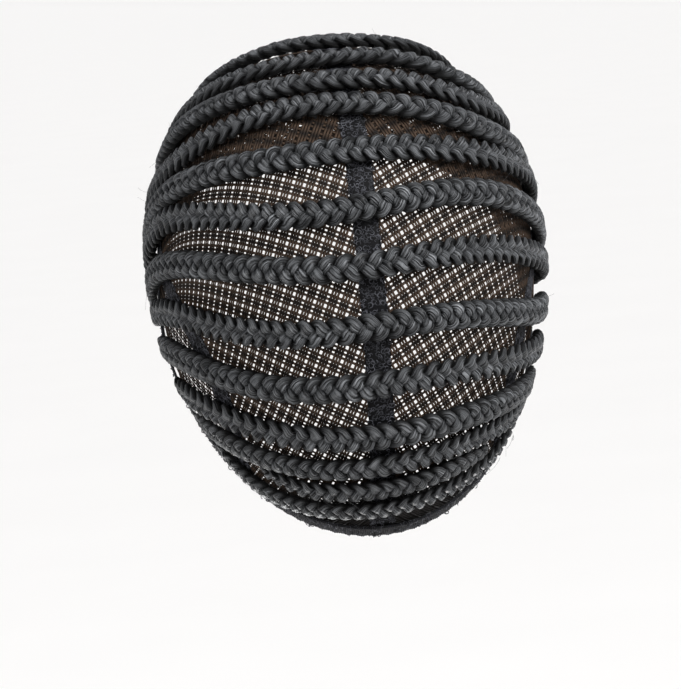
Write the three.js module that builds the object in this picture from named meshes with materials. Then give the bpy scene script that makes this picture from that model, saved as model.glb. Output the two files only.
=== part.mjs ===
// Cornrow wig cap: a stretch-net dome in four panels, joined by three lace bands and bound round its edge
// by an elastic hem, with plaited rows of hair sewn across it from one side to the other.
// Millimetres, +Z up, +Y toward the face. The origin is the inside of the crown, where a head carries it.
import * as THREE from "three";

// Head form inside the cap: half sizes about its centre, how square it is up to mid height, and how much
// squarer it gets from there to the crown
const HALF_WIDTH = 73;
const BACK_DEPTH = 97;
const FRONT_DEPTH = 93;
const CROWN_HEIGHT = 95;
const NAPE_DEPTH = 102;
const SQUARENESS = 2.0;
const SQUARENESS_TO_CROWN = 0.45;
const SIDE_TAPER = 0.09;
const SIDE_TAPER_START = 40;
const SIDE_TAPER_LENGTH = 90;
const SIDE_TAPER_BEND = 1.3;
const FORM_CENTRE = new THREE.Vector3(0, 0, -CROWN_HEIGHT);

// A place on the cap is two angles in degrees, seen from a point low in the head: rise turns from straight
// back over the crown to the brow, and swing turns from the middle to the right
const FAN_POINT = new THREE.Vector3(0, 40, -125);
const NEAREST = 20;
const FARTHEST = 220;
const HALVINGS = 44;
const NORMAL_STEP = 0.02;

// Edge of the cap: a squarish oval in rise and swing, from the nape round the ears to the brow
const EDGE_MIDDLE_RISE = 44.8;
const EDGE_HALF_RISE = 73;
const EDGE_HALF_SWING = 63.5;
const EDGE_SQUARENESS = 2.2;

// Cloth thicknesses, and the small gap left between layers
const NET_THICKNESS = 1.0;
const BAND_THICKNESS = 1.1;
const HEM_THICKNESS = 1.3;
const LAYER_FLOOR = 1.45;

// Lace bands and hem: the widths along the cloth, with the hem and side bands given as angles
const CENTRE_BAND_HALF_WIDTH = 4.6;
const SEAM_GAP = 0.35;
const SIDE_SEAM_LOW_SWING = 29;
const SIDE_SEAM_HIGH_SWING = 43.5;
const SIDE_SEAM_LOW_RISE = -5;
const SIDE_SEAM_HIGH_RISE = 45;
const SIDE_BAND_HALF_SWING = 2.4;
const SIDE_SEAM_GAP_SWING = 0.25;
const HEM_ANGLE = 3;
const HEM_STEP = 8.5;
const NET_INSET = 0.6;

// Where each cloth piece starts and stops in rise, and how many cells it has along and across
const CLOTH = {
  backPanel: { from: -27.3, to: 116.9, along: 26, across: 6 },
  sidePanel: { from: -18.4, to: 94.4, along: 20, across: 3 },
  centreBand: { from: -27.6, to: 117.2, along: 32, across: 1 },
  sideBand: { from: -21.0, to: 98.0, along: 26, across: 1 },
};

// Plaited rows from the nape to the brow: the rise at the middle and at the ends, the share of the way to the
// hem that the row covers, how far it sways up on the left and down on the right, how late it curls up to
// its ends, the height of its wave, how far its right tip turns up and its left tip down, and its girth as a
// share of a full plait's
const ROWS = [
  { name: "braid_row_01", middle: -19.4, end: -11.6, curl: 3.8, sway: -1.2, wave: -0.1, girth: 0.74 },
  { name: "braid_row_02", middle: -14.7, end: -13.3, curl: 2.6, share: 0.67, sway: -1.0, wave: -0.2, tip: -0.3, girth: 0.8 },
  { name: "braid_row_03", middle: -9.9, end: -6.1, curl: 2.4, sway: -0.6, wave: 0.3, tip: -1.0, girth: 0.85 },
  { name: "braid_row_04", middle: -4.5, end: 2.3, curl: 1.9, wave: 0.4, tip: -3.8 },
  { name: "braid_row_05", middle: 3.7, end: 17.9, curl: 2.3, sway: 0.6, wave: 0.8, tip: -6.7 },
  { name: "braid_row_06", middle: 12.0, end: 33.7, curl: 2.3, sway: 1.5, wave: 1.3, tip: -5.2 },
  { name: "braid_row_07", middle: 20.4, end: 46.1, curl: 1.8, sway: 1.4, wave: 1.2, tip: -3.3 },
  { name: "braid_row_08", middle: 28.4, end: 59.1, curl: 1.9, sway: 1.7, wave: 1.8, tip: -2.5 },
  { name: "braid_row_09", middle: 36.6, end: 74.1, curl: 2.5, sway: 1.1, wave: 0.5 },
  { name: "braid_row_10", middle: 44.3, end: 86.5, curl: 3.7, sway: 1.8, wave: 0.1 },
  { name: "braid_row_11", middle: 49.4, end: 96.4, curl: 3.7, sway: 2.6, wave: 1.0 },
  { name: "braid_row_12", middle: 56.1, end: 100.5, curl: 4.1, sway: 2.6, wave: 1.3 },
  { name: "braid_row_13", middle: 66.5, end: 104.4, curl: 2.8, sway: 1.6 },
  { name: "braid_row_14", middle: 79.0, end: 107.4, curl: 2.6 },
  { name: "braid_row_15", middle: 91.5, end: 109.5, curl: 2.6 },
  { name: "braid_row_16", middle: 104.0, end: 111.0, curl: 2.6 },
];
const BRAID_STEP = 7.6;
const BRAID_HALF_WIDTH = 4.75;
const BRAID_HEIGHT = 5.0;
const BRAID_TAPER_LENGTH = 26;
const BRAID_END_WIDTH_SHARE = 0.62;
const BRAID_END_HEIGHT_SHARE = 0.7;
const BRAID_END_INSET = 2.2;

// Section of a plait, as shares of its half width and height, starting at the upper foot
const BRAID_SECTION = [
  { across: 0.8, up: 0 },
  { across: 1.0, up: 0.42 },
  { across: 0.5, up: 1.0 },
  { across: -0.5, up: 1.0 },
  { across: -1.0, up: 0.42 },
  { across: -0.8, up: 0 },
];

// Points tried along a curve when it is divided into even steps
const CURVE_SAMPLES = 400;

const COLOURS = { net: 0x231d1a, lace: 0x141416, hem: 0x111113, hair: 0x2e2f34 };
const CLOTH_ROUGHNESS = 0.8;

const radians = THREE.MathUtils.degToRad;
const degrees = THREE.MathUtils.radToDeg;
const smoothstep = THREE.MathUtils.smoothstep;
const lerp = THREE.MathUtils.lerp;

// How far out a point lies, as a share of the head form along the same ray
function formLevel(point) {
  const offset = point.clone().sub(FORM_CENTRE);
  const power = SQUARENESS + (SQUARENESS_TO_CROWN * Math.max(0, offset.z)) / offset.length();
  const below = Math.max(0, SIDE_TAPER_START - offset.z) / SIDE_TAPER_LENGTH;
  const halfWidth = HALF_WIDTH * (1 - SIDE_TAPER * below ** SIDE_TAPER_BEND);
  const depth = offset.y < 0 ? BACK_DEPTH : FRONT_DEPTH;
  const height = offset.z > 0 ? CROWN_HEIGHT : NAPE_DEPTH;
  const sum =
    Math.abs(offset.x / halfWidth) ** power +
    Math.abs(offset.y / depth) ** power +
    Math.abs(offset.z / height) ** power;
  return sum ** (1 / power);
}

// The unit ray from the fan point at a rise and swing
function fanRay(rise, swing) {
  const up = radians(rise);
  const aside = radians(swing);
  return new THREE.Vector3(
    Math.sin(aside),
    -Math.cos(aside) * Math.cos(up),
    Math.cos(aside) * Math.sin(up),
  );
}

// How far the inside of the cap is from the fan point
function reachOf(rise, swing) {
  const ray = fanRay(rise, swing);
  let inside = NEAREST;
  let outside = FARTHEST;
  for (let i = 0; i < HALVINGS; i++) {
    const middle = (inside + outside) / 2;
    const level = formLevel(FAN_POINT.clone().addScaledVector(ray, middle));
    if (level < 1) inside = middle;
    else outside = middle;
  }
  return inside;
}

function outwardAt(point) {
  const slope = (axis) => {
    const step = new THREE.Vector3().setComponent(axis, NORMAL_STEP);
    return formLevel(point.clone().add(step)) - formLevel(point.clone().sub(step));
  };
  return new THREE.Vector3(slope(0), slope(1), slope(2)).normalize();
}

// A point on the inside of the cap with its outward direction
function capPlace(rise, swing) {
  const point = fanRay(rise, swing).multiplyScalar(reachOf(rise, swing)).add(FAN_POINT);
  return { point, outward: outwardAt(point) };
}

// A point at a height above the inside of the cap
function capPoint(rise, swing, height) {
  const place = capPlace(rise, swing);
  return place.point.addScaledVector(place.outward, height);
}

// The swing of the cap's edge at a rise, with the edge drawn in by an angle
function edgeSwing(rise, inset) {
  const share = Math.abs(rise - EDGE_MIDDLE_RISE) / (EDGE_HALF_RISE - inset);
  const left = Math.max(0, 1 - share ** EDGE_SQUARENESS);
  return (EDGE_HALF_SWING - inset) * left ** (1 / EDGE_SQUARENESS);
}

// Triangles that join each ring of points to the next, and in a closed loop the last ring to the first
function sideFaces(ringCount, pointCount, closedLoop) {
  const faces = [];
  const spans = closedLoop ? ringCount : ringCount - 1;
  for (let i = 0; i < spans; i++) {
    const here = i * pointCount;
    const next = ((i + 1) % ringCount) * pointCount;
    for (let k = 0; k < pointCount; k++) {
      const other = (k + 1) % pointCount;
      faces.push(here + k, here + other, next + other);
      faces.push(here + k, next + other, next + k);
    }
  }
  return faces;
}

// Triangles that close both ends of a plait, as a fan over each end ring
function fanEnds(ringCount, pointCount) {
  const faces = [];
  const last = (ringCount - 1) * pointCount;
  for (let k = 1; k < pointCount - 1; k++) {
    faces.push(0, k + 1, k);
    faces.push(last, last + k, last + k + 1);
  }
  return faces;
}

// Triangles that close both ends of a piece of cloth, as a strip between its outer and inner edge
function stripEnds(ringCount, pointCount) {
  const faces = [];
  const last = (ringCount - 1) * pointCount;
  for (let j = 0; j < pointCount / 2 - 1; j++) {
    const below = pointCount - 1 - j;
    faces.push(j, below, below - 1);
    faces.push(j, below - 1, j + 1);
    faces.push(last + j, last + below - 1, last + below);
    faces.push(last + j, last + j + 1, last + below - 1);
  }
  return faces;
}

function ringGeometry(rings, faces) {
  const positions = rings.flat().flatMap((point) => point.toArray());
  const geometry = new THREE.BufferGeometry();
  geometry.setAttribute("position", new THREE.Float32BufferAttribute(positions, 3));
  geometry.setIndex(faces);
  return geometry;
}

// A piece of cloth between two swings, from one rise to another: each ring goes out along the top face and
// back along the inside, and the end rings lie closer together than the middle ones
function clothSolid({ from, to, along, across }, lowSwing, highSwing, thickness) {
  const rings = [];
  for (let i = 0; i <= along; i++) {
    const rise = lerp(from, to, (1 - Math.cos((Math.PI * i) / along)) / 2);
    const low = lowSwing(rise);
    const high = highSwing(rise);
    const outer = [];
    const inner = [];
    for (let j = 0; j <= across; j++) {
      const swing = lerp(low, high, j / across);
      outer.push(capPoint(rise, swing, thickness));
      inner.unshift(capPoint(rise, swing, 0));
    }
    rings.push([...outer, ...inner]);
  }
  const pointCount = 2 * (across + 1);
  const faces = sideFaces(rings.length, pointCount, false).concat(stripEnds(rings.length, pointCount));
  return ringGeometry(rings, faces);
}

// Evenly spaced places along a curve of rise and swing that runs from 0 to 1
function evenPlaces(curve, step, closedLoop) {
  const samples = Array.from({ length: CURVE_SAMPLES + 1 }, (_, i) => i / CURVE_SAMPLES);
  const line = samples.map((t) => capPlace(curve(t).rise, curve(t).swing).point);
  const lengths = [0];
  for (let i = 1; i < line.length; i++) {
    lengths.push(lengths[i - 1] + line[i].distanceTo(line[i - 1]));
  }
  const total = lengths[CURVE_SAMPLES];
  const spans = Math.round(total / step);
  const places = [];
  let sample = 0;
  for (let i = 0; i < (closedLoop ? spans : spans + 1); i++) {
    const wanted = (total * i) / spans;
    while (sample < CURVE_SAMPLES - 1 && lengths[sample + 1] < wanted) sample++;
    const share = (wanted - lengths[sample]) / (lengths[sample + 1] - lengths[sample]);
    const at = curve(lerp(samples[sample], samples[sample + 1], share));
    places.push({ ...at, along: wanted, total });
  }
  return places;
}

// Seams: the half swing of the centre band at a distance from the middle, and the swing of the side bands
function centreSwing(rise, aside) {
  return degrees(Math.asin(aside / reachOf(rise, 0)));
}

function sideSwing(rise) {
  const share = smoothstep(rise, SIDE_SEAM_LOW_RISE, SIDE_SEAM_HIGH_RISE);
  return lerp(SIDE_SEAM_LOW_SWING, SIDE_SEAM_HIGH_SWING, share);
}

function centreBandSolid() {
  const half = (rise) => centreSwing(rise, CENTRE_BAND_HALF_WIDTH);
  return clothSolid(CLOTH.centreBand, (rise) => -half(rise), half, BAND_THICKNESS);
}

function sideBandSolid(side) {
  const near = (rise) => sideSwing(rise) - SIDE_BAND_HALF_SWING;
  const far = (rise) => sideSwing(rise) + SIDE_BAND_HALF_SWING;
  return mirroredCloth(CLOTH.sideBand, near, far, BAND_THICKNESS, side);
}

function backPanelSolid(side) {
  const near = (rise) => centreSwing(rise, CENTRE_BAND_HALF_WIDTH + SEAM_GAP);
  const seam = (rise) => sideSwing(rise) - SIDE_BAND_HALF_SWING - SIDE_SEAM_GAP_SWING;
  const far = (rise) => Math.min(seam(rise), edgeSwing(rise, NET_INSET));
  return mirroredCloth(CLOTH.backPanel, near, far, NET_THICKNESS, side);
}

function sidePanelSolid(side) {
  const near = (rise) => sideSwing(rise) + SIDE_BAND_HALF_SWING + SIDE_SEAM_GAP_SWING;
  const far = (rise) => edgeSwing(rise, NET_INSET);
  return mirroredCloth(CLOTH.sidePanel, near, far, NET_THICKNESS, side);
}

// The same piece of cloth on the right or, with its two edges changed over, on the left
function mirroredCloth(cells, near, far, thickness, side) {
  if (side > 0) return clothSolid(cells, near, far, thickness);
  return clothSolid(cells, (rise) => -far(rise), (rise) => -near(rise), thickness);
}

// The hem lies on the outside of the net along the whole edge
function hemSolid() {
  const onOval = (turn, inset) => {
    const along = Math.cos(turn * 2 * Math.PI);
    const aside = Math.sin(turn * 2 * Math.PI);
    const size = Math.abs(along) ** EDGE_SQUARENESS + Math.abs(aside) ** EDGE_SQUARENESS;
    const reach = size ** (-1 / EDGE_SQUARENESS);
    return {
      rise: EDGE_MIDDLE_RISE + (EDGE_HALF_RISE - inset) * reach * along,
      swing: (EDGE_HALF_SWING - inset) * reach * aside,
      turn,
    };
  };
  const places = evenPlaces((turn) => onOval(turn, 0), HEM_STEP, true);
  const top = LAYER_FLOOR + HEM_THICKNESS;
  const rings = places.map(({ turn }) => {
    const outer = onOval(turn, 0);
    const inner = onOval(turn, HEM_ANGLE);
    return [
      capPoint(inner.rise, inner.swing, top),
      capPoint(inner.rise, inner.swing, LAYER_FLOOR),
      capPoint(outer.rise, outer.swing, LAYER_FLOOR),
      capPoint(outer.rise, outer.swing, top),
    ];
  });
  return ringGeometry(rings, sideFaces(rings.length, rings[0].length, true));
}

// A plaited row from the left hem to the right hem, narrower and lower where it tucks in at its ends
function braidSolid({ middle, end, curl, share = 1, sway = 0, wave = 0, tip = 0, girth = 1 }) {
  const inset = HEM_ANGLE + BRAID_END_INSET;
  const leftSwing = share * edgeSwing(end - tip, inset);
  const rightSwing = share * edgeSwing(end + tip, inset);
  const path = (t) => {
    const side = 2 * t - 1;
    const climb = (end - middle) * Math.abs(side) ** curl + tip * side ** 3;
    const drift = wave * Math.sin(2 * Math.PI * side) - sway * Math.sin(Math.PI * side);
    return { rise: middle + climb + drift, swing: (side < 0 ? leftSwing : rightSwing) * side };
  };
  const places = evenPlaces(path, BRAID_STEP, false);
  const spots = places.map(({ rise, swing }) => capPlace(rise, swing));
  const rings = places.map(({ along, total }, i) => {
    const before = spots[Math.max(0, i - 1)].point;
    const after = spots[Math.min(spots.length - 1, i + 1)].point;
    const forward = after.clone().sub(before).normalize();
    const { point, outward } = spots[i];
    const aside = outward.clone().cross(forward).normalize();
    const full = smoothstep(Math.min(along, total - along), 0, BRAID_TAPER_LENGTH);
    const halfWidth = girth * BRAID_HALF_WIDTH * lerp(BRAID_END_WIDTH_SHARE, 1, full);
    const height = girth * BRAID_HEIGHT * lerp(BRAID_END_HEIGHT_SHARE, 1, full);
    return BRAID_SECTION.map((corner) =>
      point
        .clone()
        .addScaledVector(aside, corner.across * halfWidth)
        .addScaledVector(outward, LAYER_FLOOR + corner.up * height),
    );
  });
  const pointCount = BRAID_SECTION.length;
  const faces = sideFaces(rings.length, pointCount, false).concat(fanEnds(rings.length, pointCount));
  return ringGeometry(rings, faces);
}

function piece(name, geometry, colour) {
  geometry.computeVertexNormals();
  const material = new THREE.MeshStandardMaterial({ color: colour, roughness: CLOTH_ROUGHNESS });
  const mesh = new THREE.Mesh(geometry, material);
  mesh.name = name;
  return mesh;
}

const cap = new THREE.Group();
cap.name = "cornrow_wig_cap";
cap.add(
  piece("net_back_left", backPanelSolid(-1), COLOURS.net),
  piece("net_back_right", backPanelSolid(1), COLOURS.net),
  piece("net_side_left", sidePanelSolid(-1), COLOURS.net),
  piece("net_side_right", sidePanelSolid(1), COLOURS.net),
  piece("centre_band", centreBandSolid(), COLOURS.lace),
  piece("side_band_left", sideBandSolid(-1), COLOURS.lace),
  piece("side_band_right", sideBandSolid(1), COLOURS.lace),
  piece("edge_hem", hemSolid(), COLOURS.hem),
  ...ROWS.map((row) => piece(row.name, braidSolid(row), COLOURS.hair)),
);

export default cap;
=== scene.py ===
import math

import bpy
import numpy as np
from mathutils import Matrix, Vector


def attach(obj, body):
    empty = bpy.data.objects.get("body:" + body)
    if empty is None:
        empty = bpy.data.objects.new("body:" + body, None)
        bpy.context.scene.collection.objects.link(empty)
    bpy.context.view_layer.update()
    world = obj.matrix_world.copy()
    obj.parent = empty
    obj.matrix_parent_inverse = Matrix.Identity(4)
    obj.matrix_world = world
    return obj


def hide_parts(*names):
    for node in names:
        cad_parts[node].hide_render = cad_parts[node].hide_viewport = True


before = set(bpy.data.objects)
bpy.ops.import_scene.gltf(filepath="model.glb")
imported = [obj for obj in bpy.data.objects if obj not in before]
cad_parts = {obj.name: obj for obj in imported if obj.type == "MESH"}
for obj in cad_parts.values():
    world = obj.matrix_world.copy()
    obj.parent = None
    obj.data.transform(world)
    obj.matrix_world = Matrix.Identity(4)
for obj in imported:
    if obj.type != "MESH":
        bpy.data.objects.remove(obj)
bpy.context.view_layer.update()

# Lace bands
# Black lace ribbons sewn over the three seams between the net panels, one down the middle of the back and
# one toward each side. The lace is a close tangle of fine looped threads on a thin woven ground.

# Inside form of the cap, in metres and, for places on it, in degrees from a point inside it
FORM_CENTRE = np.array((0.0, 0.0, -0.095))
HALF_WIDTH = 0.073
BACK_DEPTH = 0.097
FRONT_DEPTH = 0.093
CROWN_HEIGHT = 0.095
NAPE_DEPTH = 0.102
SQUARENESS = 2.0
SQUARENESS_TO_CROWN = 0.45
SIDE_TAPER = 0.09
SIDE_TAPER_START = 0.040
SIDE_TAPER_LENGTH = 0.090
SIDE_TAPER_BEND = 1.3
FAN_POINT = np.array((0.0, 0.040, -0.125))
NEAREST = 0.020
FARTHEST = 0.220
HALVINGS = 40
NORMAL_STEP = 0.00002


def form_level(points):
    """How far out points lie, as a share of the cap's inside form along the same ray."""
    offset = points - FORM_CENTRE
    reach = np.linalg.norm(offset, axis=-1)
    power = SQUARENESS + SQUARENESS_TO_CROWN * np.maximum(0, offset[..., 2]) / reach
    depth = np.where(offset[..., 1] < 0, BACK_DEPTH, FRONT_DEPTH)
    height = np.where(offset[..., 2] > 0, CROWN_HEIGHT, NAPE_DEPTH)
    below = np.maximum(0, SIDE_TAPER_START - offset[..., 2]) / SIDE_TAPER_LENGTH
    width = HALF_WIDTH * (1 - SIDE_TAPER * below ** SIDE_TAPER_BEND)
    size = np.stack((width, depth, height), axis=-1)
    shares = np.abs(offset / size) ** power[..., None]
    return shares.sum(axis=-1) ** (1 / power)


def cap_places(rise, swing):
    """Points on the inside of the cap and the directions out of it. Rise turns from straight back over the
    crown to the brow, and swing turns from the middle to the right."""
    rise, swing = np.broadcast_arrays(np.asarray(rise, float), np.asarray(swing, float))
    up = np.radians(rise)
    aside = np.radians(swing)
    ray = np.stack((np.sin(aside), -np.cos(aside) * np.cos(up), np.cos(aside) * np.sin(up)), axis=-1)
    near = np.full(up.shape, NEAREST)
    far = np.full(up.shape, FARTHEST)
    for _ in range(HALVINGS):
        middle = (near + far) / 2
        inside = form_level(FAN_POINT + ray * middle[..., None]) < 1
        near = np.where(inside, middle, near)
        far = np.where(inside, far, middle)
    points = FAN_POINT + ray * near[..., None]
    steps = np.eye(3) * NORMAL_STEP
    slope = np.stack([form_level(points + step) - form_level(points - step) for step in steps], axis=-1)
    return points, slope / np.linalg.norm(slope, axis=-1, keepdims=True)


# Edge of the cap and its seams, in degrees of rise and swing
EDGE_MIDDLE_RISE = 44.8
EDGE_HALF_RISE = 73
EDGE_HALF_SWING = 63.5
EDGE_SQUARENESS = 2.2
SIDE_SEAM_LOW_SWING = 29
SIDE_SEAM_HIGH_SWING = 43.5
SIDE_SEAM_LOW_RISE = -5
SIDE_SEAM_HIGH_RISE = 45


def smooth(share):
    """Eases from 0 to 1."""
    share = np.clip(share, 0, 1)
    return share * share * (3 - 2 * share)


def edge_swing(rise, inset):
    """The swing of the cap's edge at a rise, drawn in by an angle."""
    share = np.abs(rise - EDGE_MIDDLE_RISE) / (EDGE_HALF_RISE - inset)
    left = np.maximum(0, 1 - share ** EDGE_SQUARENESS)
    return (EDGE_HALF_SWING - inset) * left ** (1 / EDGE_SQUARENESS)


def side_seam(rise):
    """The swing of the seam between a back panel and a side panel."""
    share = (rise - SIDE_SEAM_LOW_RISE) / (SIDE_SEAM_HIGH_RISE - SIDE_SEAM_LOW_RISE)
    return SIDE_SEAM_LOW_SWING + (SIDE_SEAM_HIGH_SWING - SIDE_SEAM_LOW_SWING) * smooth(share)


def centre_seam(rise, aside):
    """The swing of a line that runs beside the middle at a distance."""
    points, _ = cap_places(rise, 0)
    return np.degrees(np.arcsin(aside / np.linalg.norm(points - FAN_POINT, axis=-1)))


def new_piece(name, points, edges=(), faces=()):
    """A mesh object at the origin."""
    mesh = bpy.data.meshes.new(name)
    mesh.from_pydata([tuple(point) for point in points], list(edges), list(faces))
    piece = bpy.data.objects.new(name, mesh)
    bpy.context.scene.collection.objects.link(piece)
    return piece


def keep_values(piece, kind, **values):
    """Stores a value for each point of a piece, to be read in node trees by its name."""
    for name, data in values.items():
        stored = piece.data.attributes.new(name, kind, "POINT")
        stored.data.foreach_set("vector" if kind == "FLOAT_VECTOR" else "value", np.ravel(data))


def grid_faces(rows, columns):
    """Quads between neighbouring rows and columns of points."""
    corner = np.arange(rows * columns).reshape(rows, columns)
    quads = np.stack((corner[:-1, :-1], corner[:-1, 1:], corner[1:, 1:], corner[1:, :-1]), axis=-1)
    return quads.reshape(-1, 4).tolist()


def step_lengths(points):
    """Distances along rows of points, from the first column."""
    steps = np.linalg.norm(np.diff(points, axis=1), axis=-1)
    return np.concatenate((np.zeros((len(points), 1)), np.cumsum(steps, axis=1)), axis=1)


class Wire:
    """A node's output. Sums and products of wires add the nodes that work them out."""

    def __init__(self, bench, socket):
        self.bench = bench
        self.socket = socket

    def __add__(self, other):
        return self.bench.combine("ADD", self, other)

    def __sub__(self, other):
        return self.bench.combine("SUBTRACT", self, other)

    def __rsub__(self, other):
        return self.bench.combine("SUBTRACT", other, self)

    def __mul__(self, other):
        return self.bench.combine("MULTIPLY", self, other)

    def __neg__(self):
        return self.bench.combine("MULTIPLY", self, -1.0)

    __radd__ = __add__
    __rmul__ = __mul__

    def sibling(self, name):
        """Another output of the same node."""
        return Wire(self.bench, self.bench.find(self.socket.node.outputs, name))


class Bench:
    """A node tree, with one method that adds any node to it."""

    def __init__(self, tree):
        self.tree = tree

    def node(self, kind, settings=None, sockets=None, out=0):
        """Adds a node, sets its sockets' values or links, and returns one of its outputs, if any."""
        made = self.tree.nodes.new(kind)
        for name, value in (settings or {}).items():
            setattr(made, name, value)
        for key, value in (sockets or {}).items():
            self.feed(self.find(made.inputs, key), value)
        return Wire(self, self.find(made.outputs, out)) if made.outputs else None

    @staticmethod
    def find(sockets, key):
        if isinstance(key, int):
            return sockets[key]
        exact = [socket for socket in sockets if socket.identifier == key]
        return (exact or [socket for socket in sockets if socket.name == key and socket.enabled])[0]

    def feed(self, socket, value):
        if isinstance(value, list):
            for wire in value:
                self.tree.links.new(wire.socket, socket)
        elif isinstance(value, Wire):
            self.tree.links.new(value.socket, socket)
        else:
            socket.default_value = value

    def combine(self, operation, first, second):
        vectors = [isinstance(x, Wire) and x.socket.type == "VECTOR" for x in (first, second)]
        if not any(vectors):
            return self.math(operation, first, second)
        if operation == "MULTIPLY" and not all(vectors):
            vector, scale = (first, second) if vectors[0] else (second, first)
            return self.node("ShaderNodeVectorMath", {"operation": "SCALE"}, {0: vector, "Scale": scale})
        return self.node("ShaderNodeVectorMath", {"operation": operation}, {0: first, 1: second})

    def math(self, operation, *values):
        return self.node("ShaderNodeMath", {"operation": operation}, dict(enumerate(values)))

    def vector(self, x=0.0, y=0.0, z=0.0):
        return self.node("ShaderNodeCombineXYZ", None, {0: x, 1: y, 2: z})

    def part(self, vector, axis):
        return self.node("ShaderNodeSeparateXYZ", None, {"Vector": vector}, axis)

    def between(self, value, low, high):
        """0 below the low value, 1 above the high one, and in proportion between them."""
        return self.node("ShaderNodeMapRange", None, {"Value": value, "From Min": low, "From Max": high})

    def noise(self, place, scale):
        return self.node("ShaderNodeTexNoise", None, {"Vector": place, "Scale": scale}, "Fac")

    def blend(self, share, first, second):
        sockets = {"Factor_Float": share, "A_Color": first, "B_Color": second}
        return self.node("ShaderNodeMix", {"data_type": "RGBA"}, sockets, "Result_Color")


class GrowBench(Bench):
    """A geometry node tree with named inputs. Its first input and its output are the piece's geometry."""

    KINDS = {"size": "NodeSocketFloat", "count": "NodeSocketInt", "material": "NodeSocketMaterial"}

    def __init__(self, name, **inputs):
        super().__init__(bpy.data.node_groups.new(name, "GeometryNodeTree"))
        for way in ("OUTPUT", "INPUT"):
            self.tree.interface.new_socket("Geometry", in_out=way, socket_type="NodeSocketGeometry")
        for label, kind in inputs.items():
            self.tree.interface.new_socket(label, in_out="INPUT", socket_type=self.KINDS[kind])
        self.entry = self.node("NodeGroupInput")

    def given(self, label):
        return self.entry.sibling(label)

    def value_of(self, name, kind="FLOAT"):
        return self.node("GeometryNodeInputNamedAttribute", {"data_type": kind}, {"Name": name})

    def store(self, geometry, name, value, kind="FLOAT"):
        sockets = {"Geometry": geometry, "Name": name, "Value": value}
        return self.node("GeometryNodeStoreNamedAttribute", {"data_type": kind}, sockets)

    def chance(self, low, high, seed):
        """A random number for each point."""
        sockets = {"Min_001": low, "Max_001": high, "Seed": seed}
        return self.node("FunctionNodeRandomValue", None, sockets, 1)

    def line(self, count, start, step):
        sockets = {"Count": count, "Start Location": start, "Offset": step}
        return self.node("GeometryNodeMeshLine", {"mode": "OFFSET"}, sockets)

    def copies(self, points, shape, **sockets):
        sockets.update({"Points": points, "Instance": shape})
        copied = self.node("GeometryNodeInstanceOnPoints", None, sockets)
        return self.node("GeometryNodeRealizeInstances", None, {"Geometry": copied})

    def join(self, *shapes):
        return self.node("GeometryNodeJoinGeometry", None, {"Geometry": list(shapes)})

    def moved(self, geometry, **sockets):
        return self.node("GeometryNodeSetPosition", None, {"Geometry": geometry, **sockets})

    def curve(self, mesh):
        return self.node("GeometryNodeMeshToCurve", None, {"Mesh": mesh})

    def faced(self, curve, normal):
        """A curve whose cross-sections face along a normal."""
        sockets = {"Curve": curve, "Normal": normal}
        return self.node("GeometryNodeSetCurveNormal", {"mode": "FREE"}, sockets)

    def ring(self, sides):
        return self.node("GeometryNodeCurvePrimitiveCircle", None, {"Resolution": sides, "Radius": 1.0})

    def tube(self, curve, profile, scale):
        sockets = {"Curve": curve, "Profile Curve": profile, "Scale": scale, "Fill Caps": True}
        return self.node("GeometryNodeCurveToMesh", None, sockets)

    def end(self, geometry):
        rounded = self.node("GeometryNodeSetShadeSmooth", None, {"Geometry": geometry})
        realized = self.node("GeometryNodeRealizeInstances", None, {"Geometry": rounded})
        sockets = {"Geometry": realized, "Material": self.given("material")}
        painted = self.node("GeometryNodeSetMaterial", None, sockets)
        self.node("NodeGroupOutput", None, {"Geometry": painted})

    def grow(self, piece, **values):
        """Runs the tree on a piece and leaves the result as its plain mesh."""
        modifier = piece.modifiers.new(self.tree.name, "NODES")
        modifier.node_group = self.tree
        for item in self.tree.interface.items_tree:
            if item.in_out == "INPUT" and item.name in values:
                modifier[item.identifier] = values[item.name]
        graph = bpy.context.evaluated_depsgraph_get()
        grown = bpy.data.meshes.new_from_object(piece.evaluated_get(graph))
        piece.modifiers.remove(modifier)
        start = piece.data
        piece.data = grown
        bpy.data.meshes.remove(start)


class PaintBench(Bench):
    """A material's node tree."""

    def __init__(self, name):
        self.material = bpy.data.materials.new(name)
        self.material.use_nodes = True
        super().__init__(self.material.node_tree)
        self.tree.nodes.clear()
        self.place = self.node("ShaderNodeTexCoord", None, None, "Object")

    def cloud(self, scale):
        """Noise that is fixed to the piece."""
        return self.noise(self.place, scale)

    def value_of(self, name, out="Fac"):
        return self.node("ShaderNodeAttribute", {"attribute_name": name}, None, out)

    def finish(self, colour, roughness, spread, relief, relief_depth, gloss):
        """Ends the tree with a surface that is rougher where its relief is higher."""
        bump = self.node("ShaderNodeBump", None, {"Height": relief, "Distance": relief_depth})
        shader = self.node("ShaderNodeBsdfPrincipled", None,
                           {"Base Color": colour, "Roughness": roughness + relief * spread,
                            "Normal": bump, "Specular IOR Level": gloss})
        self.node("ShaderNodeOutputMaterial", None, {"Surface": shader})


def ring_faces(rings, count, closed):
    """Quads between neighbouring rings of points."""
    faces = []
    for i in range(rings if closed else rings - 1):
        here = i * count
        there = (i + 1) % rings * count
        for k in range(count):
            beside = (k + 1) % count
            faces.append((here + k, here + beside, there + beside, there + k))
    return faces


def end_faces(rings, count):
    """Quads that close a strip's two ends. Its rings go out along the top and back along the underside."""
    faces = []
    last = (rings - 1) * count
    for j in range(count // 2 - 1):
        below = count - 1 - j
        faces.append((j, below, below - 1, j + 1))
        faces.append((last + j, last + j + 1, last + below - 1, last + below))
    return faces


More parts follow.
